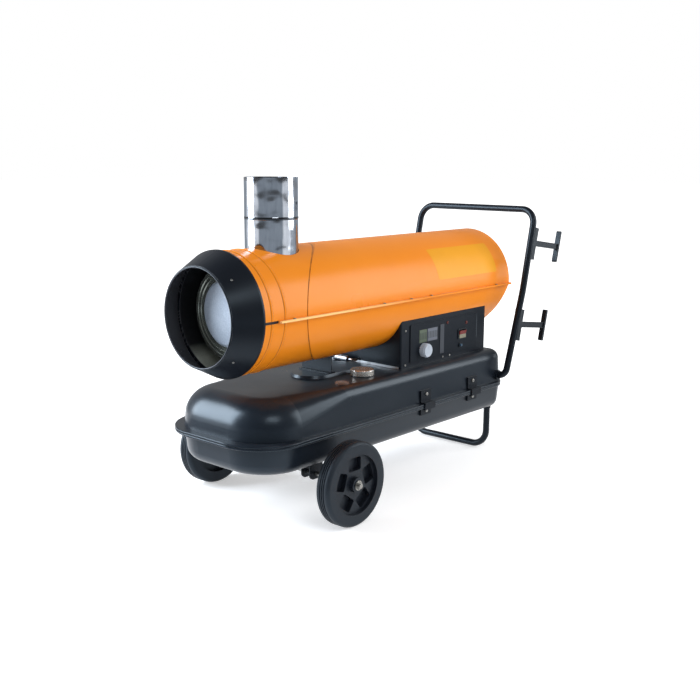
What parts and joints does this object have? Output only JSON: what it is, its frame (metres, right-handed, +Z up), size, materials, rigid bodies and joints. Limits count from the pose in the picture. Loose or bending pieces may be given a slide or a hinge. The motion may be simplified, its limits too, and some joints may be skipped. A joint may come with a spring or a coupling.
{
  "type": "indirect fired heater",
  "caption": "Wheeled indirect fired space heater: tubular casing with outlet cone and flue on a fuel tank, with control box, push handle and rear stand.",
  "frame": {"origin": "on the floor, under the middle of the machine's overall length and width", "axes": "+Z up, +X towards the push handle at the rear (air leaves towards -X), -Y the side with the control panel"},
  "size_m": [1.2564, 0.5586, 0.8145],
  "materials": {
    "orange_paint": "gloss powder coat",
    "black_paint": "satin powder coat",
    "tank_paint": "satin powder coat",
    "galvanised": "bright rolled sheet",
    "bright_steel": "bright",
    "heat_steel": "heat-dulled",
    "zinc_steel": "zinc plated",
    "chrome": "plated",
    "cast_alloy": "as cast",
    "motor_paint": "satin",
    "fan_alloy": "satin",
    "brass": "machined",
    "ceramic": "glazed",
    "black_plastic": "matt",
    "panel_plastic": "fine satin",
    "white_plastic": "gloss",
    "rocker_plastic": "gloss",
    "blue_plastic": "gloss",
    "window_glass": "clear",
    "lamp_lens": "tinted",
    "board": "coated",
    "gasket": "matt",
    "gauge_plastic": "gloss",
    "lens_glass": "clear",
    "pointer_red": "gloss",
    "filter_body": "satin",
    "copper_line": "drawn tube",
    "tyre": "moulded",
    "rim_plastic": "moulded"
  },
  "bodies": {
    "machine": {"upper_casing": "orange_paint", "lower_casing": "orange_paint", "outlet_cone": "black_paint", "fasteners": "zinc_steel", "flue_pipe": "galvanised", "flue_spigot": "heat_steel", "heat_exchanger": "heat_steel", "exchanger_cover": "bright_steel", "combustion_chamber": "heat_steel", "burner_head": "heat_steel", "oil_nozzle": "brass", "ignition_electrodes": "ceramic", "photocell": "black_plastic", "fan_motor": "motor_paint", "motor_bracket": "black_paint", "fan_shroud": "black_paint", "fuel_pump": "cast_alloy", "solenoid_valve": "black_plastic", "rear_guard": "black_paint", "control_box": "black_paint", "cord_gland": "black_plastic", "control_panel": "panel_plastic", "display_windows": "window_glass", "thermostat_body": "black_plastic", "power_switch": "black_plastic", "reset_housing": "black_plastic", "indicator_lamps": "lamp_lens", "control_board": "board", "ignition_transformer": "black_plastic", "tank_upper": "tank_paint", "tank_lower": "tank_paint", "fuel_strainer": "black_plastic", "gauge_body": "gauge_plastic", "gauge_lens": "lens_glass", "drain_plug": "zinc_steel", "fuel_filter": "filter_body", "fuel_lines": "copper_line", "casing_support": "black_paint", "tank_clamps": "black_paint", "filler_neck": "tank_paint", "axle": "zinc_steel", "hub_nuts": "zinc_steel", "axle_brackets": "black_paint", "push_handle": "black_paint", "rear_stand": "black_paint", "upper_cord_winder": "black_plastic", "lower_cord_winder": "black_plastic"},
    "left_wheel": {"left_tyre": "tyre", "left_rim": "rim_plastic"},
    "right_wheel": {"right_tyre": "tyre", "right_rim": "rim_plastic"},
    "fan_rotor": {"fan": "fan_alloy", "motor_shaft": "bright_steel"},
    "thermostat_dial": {"thermostat_knob": "white_plastic"},
    "switch_rocker": {"power_rocker": "rocker_plastic"},
    "reset_plunger": {"reset_button": "blue_plastic"},
    "cap_seal": {"cap_gasket": "gasket"},
    "filler_cap": {"fuel_cap": "chrome"},
    "gauge_float": {"float_arm": "black_plastic"},
    "gauge_needle": {"gauge_pointer": "pointer_red"}
  },
  "joints": [
    {"name": "left_wheel_spin", "type": "hinge", "parent": "machine", "child": "left_wheel", "pos_m": [-0.3762, -0.2462, 0.1034], "axis": [0, 1, 0], "continuous": true},
    {"name": "right_wheel_spin", "type": "hinge", "parent": "machine", "child": "right_wheel", "pos_m": [-0.3762, 0.2462, 0.1034], "axis": [0, 1, 0], "continuous": true},
    {"name": "fan_spin", "type": "hinge", "parent": "machine", "child": "fan_rotor", "pos_m": [0.3098, 0, 0.502], "axis": [1, 0, 0], "continuous": true},
    {"name": "thermostat_turn", "type": "hinge", "parent": "machine", "child": "thermostat_dial", "pos_m": [0.0428, -0.1368, 0.35], "axis": [0, 1, 0], "range_deg": [-135, 135]},
    {"name": "power_switch_tilt", "type": "hinge", "parent": "machine", "child": "switch_rocker", "pos_m": [0.2218, -0.1343, 0.3715], "axis": [-1, 0, 0], "range_deg": [0, 14]},
    {"name": "reset_press", "type": "slide", "parent": "machine", "child": "reset_plunger", "axis": [0, 1, 0], "range_m": [0, 0.0025], "stiffness_N_per_m": 400, "springref_m": -0.001},
    {"name": "cap_lift", "type": "slide", "parent": "machine", "child": "cap_seal", "axis": [0, 0, 1], "range_m": [0, 0.038]},
    {"name": "cap_turn", "type": "hinge", "parent": "cap_seal", "child": "filler_cap", "pos_m": [-0.1702, -0.102, 0.3228], "axis": [0, 0, 1], "range_deg": [0, 90]},
    {"name": "float_swing", "type": "hinge", "parent": "machine", "child": "gauge_float", "pos_m": [-0.2732, -0.1202, 0.2255], "axis": [0, -1, 0], "range_deg": [0, 95]},
    {"name": "pointer_turn", "type": "hinge", "parent": "machine", "child": "gauge_needle", "pos_m": [-0.2732, -0.124, 0.31], "axis": [0, 0, 1], "range_deg": [0, 114]}
  ],
  "couplings": [
    {"joint": "pointer_turn", "follows": "float_swing", "ratio": 1.2}
  ]
}
